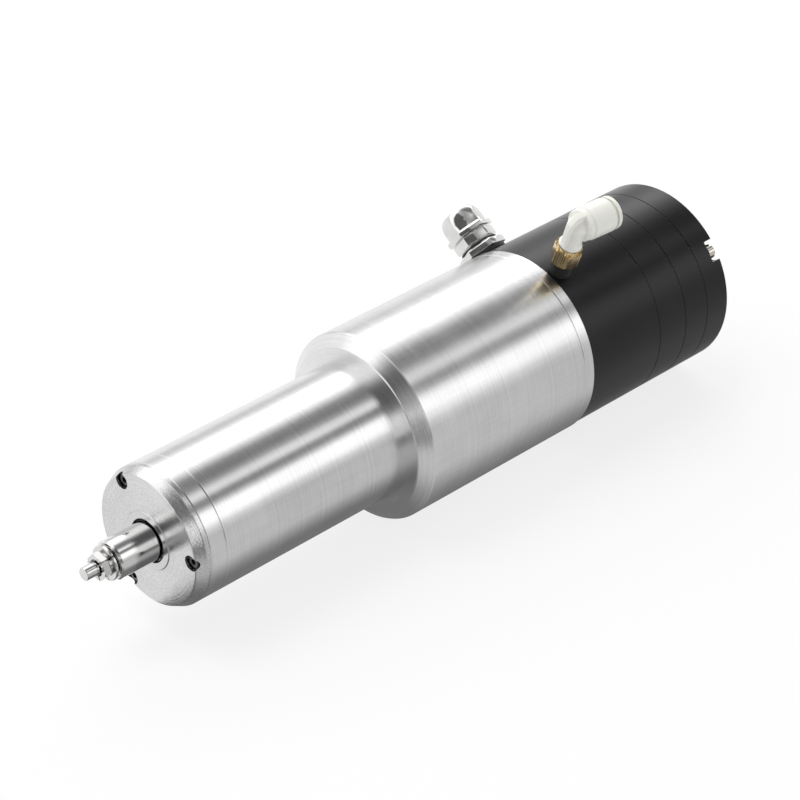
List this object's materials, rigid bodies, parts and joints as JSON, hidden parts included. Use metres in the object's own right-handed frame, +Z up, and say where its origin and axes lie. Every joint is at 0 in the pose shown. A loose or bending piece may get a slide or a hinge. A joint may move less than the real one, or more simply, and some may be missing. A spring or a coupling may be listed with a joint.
{
  "type": "motor spindle",
  "caption": "Cylindrical electric motor spindle with a collet nose, clamping barrel, air-released drawbar, swivelling air elbow and cable gland.",
  "frame": {"origin": "on the spindle axis, in the plane of the shoulder between nose and motor housing", "axes": "+X along the spindle axis from the tool to the rear cover, +Z up, so the tool points along -X"},
  "size_m": [0.3588, 0.1056, 0.1217],
  "materials": {
    "turned_steel": "finely turned bright steel",
    "polished_steel": "ground and polished steel",
    "screw_steel": "dark hardened steel",
    "bearing_steel": "ground bearing steel",
    "lamination": "stacked electrical steel",
    "copper_wire": "varnished copper winding",
    "bronze": "bronze",
    "light_alloy": "machined aluminium",
    "black_alloy": "black anodised aluminium",
    "brass": "turned brass",
    "nickel": "nickel-plated brass",
    "white_plastic": "moulded warm white plastic",
    "black_rubber": "black rubber",
    "grey_rubber": "dark grey rubber",
    "spring_steel": "spring steel"
  },
  "bodies": {
    "housing": {"front_cover": "turned_steel", "labyrinth_ring": "turned_steel", "cover_screws": "screw_steel", "clamp_ring": "turned_steel", "nose_barrel": "turned_steel", "barrel_screws": "screw_steel", "front_outer_races": "bearing_steel", "motor_housing": "turned_steel", "stator_core": "lamination", "stator_winding": "copper_wire", "rear_shield": "turned_steel", "shield_screws": "screw_steel", "rear_outer_races": "bearing_steel", "preload_spring": "spring_steel", "connection_housing": "black_alloy", "connection_screws": "screw_steel", "front_cylinder": "black_alloy", "rear_cylinder": "black_alloy", "rear_cover": "black_alloy", "tie_screws": "nickel", "rod_seals": "black_rubber", "return_spring": "spring_steel", "gland_gasket": "black_rubber", "gland_body": "nickel", "gland_o_ring": "black_rubber", "gland_insert": "grey_rubber", "gland_nut": "nickel", "fitting_stud": "brass", "stud_o_ring": "black_rubber"},
    "rotor": {"front_inner_races": "bearing_steel", "rear_inner_races": "bearing_steel", "spindle_shaft": "polished_steel", "front_lock_nut": "screw_steel", "rear_lock_nut": "screw_steel", "rotor_core": "lamination", "rotor_end_rings": "light_alloy", "disc_springs": "spring_steel", "drawbar_guide": "bronze"},
    "clamp": {"collet": "polished_steel", "tool_pin": "polished_steel", "drawbar": "polished_steel"},
    "front_cage": {"front_balls": "bearing_steel", "front_cages": "bronze"},
    "rear_cage": {"rear_balls": "bearing_steel", "rear_cages": "bronze"},
    "piston": {"pistons": "light_alloy", "piston_rod": "polished_steel", "piston_spacer": "polished_steel", "piston_nut": "screw_steel", "piston_seals": "black_rubber"},
    "elbow": {"elbow_body": "white_plastic", "tube_seal": "black_rubber", "grab_ring": "spring_steel"},
    "release": {"release_ring": "white_plastic"}
  },
  "joints": [
    {"name": "rotor_spin", "type": "hinge", "parent": "housing", "child": "rotor", "pos_m": [0, 0, 0], "axis": [1, 0, 0], "continuous": true},
    {"name": "front_cage_turn", "type": "hinge", "parent": "housing", "child": "front_cage", "pos_m": [-0.0908, 0, 0], "axis": [1, 0, 0], "continuous": true},
    {"name": "rear_cage_turn", "type": "hinge", "parent": "housing", "child": "rear_cage", "pos_m": [0.1102, 0, 0], "axis": [1, 0, 0], "continuous": true},
    {"name": "clamp_release", "type": "slide", "parent": "rotor", "child": "clamp", "axis": [-1, 0, 0], "range_m": [0, 0.0015], "stiffness_N_per_m": 20000, "deforming": ["disc_springs"]},
    {"name": "piston_stroke", "type": "slide", "parent": "housing", "child": "piston", "axis": [-1, 0, 0], "range_m": [0, 0.00245], "stiffness_N_per_m": 4000, "deforming": ["return_spring"]},
    {"name": "elbow_swivel", "type": "hinge", "parent": "housing", "child": "elbow", "pos_m": [0.115, -0.02136, 0.05714], "axis": [0, -0.3502, 0.9367], "continuous": true},
    {"name": "release_ring_push", "type": "slide", "parent": "elbow", "child": "release", "axis": [-0.9986, 0.049, 0.0183], "range_m": [0, 0.001], "stiffness_N_per_m": 400}
  ],
  "couplings": [
    {"joint": "front_cage_turn", "follows": "rotor_spin", "ratio": 0.3976},
    {"joint": "rear_cage_turn", "follows": "rotor_spin", "ratio": 0.4165},
    {"joint": "clamp_release", "follows": "piston_stroke", "ratio": 0.61224}
  ]
}
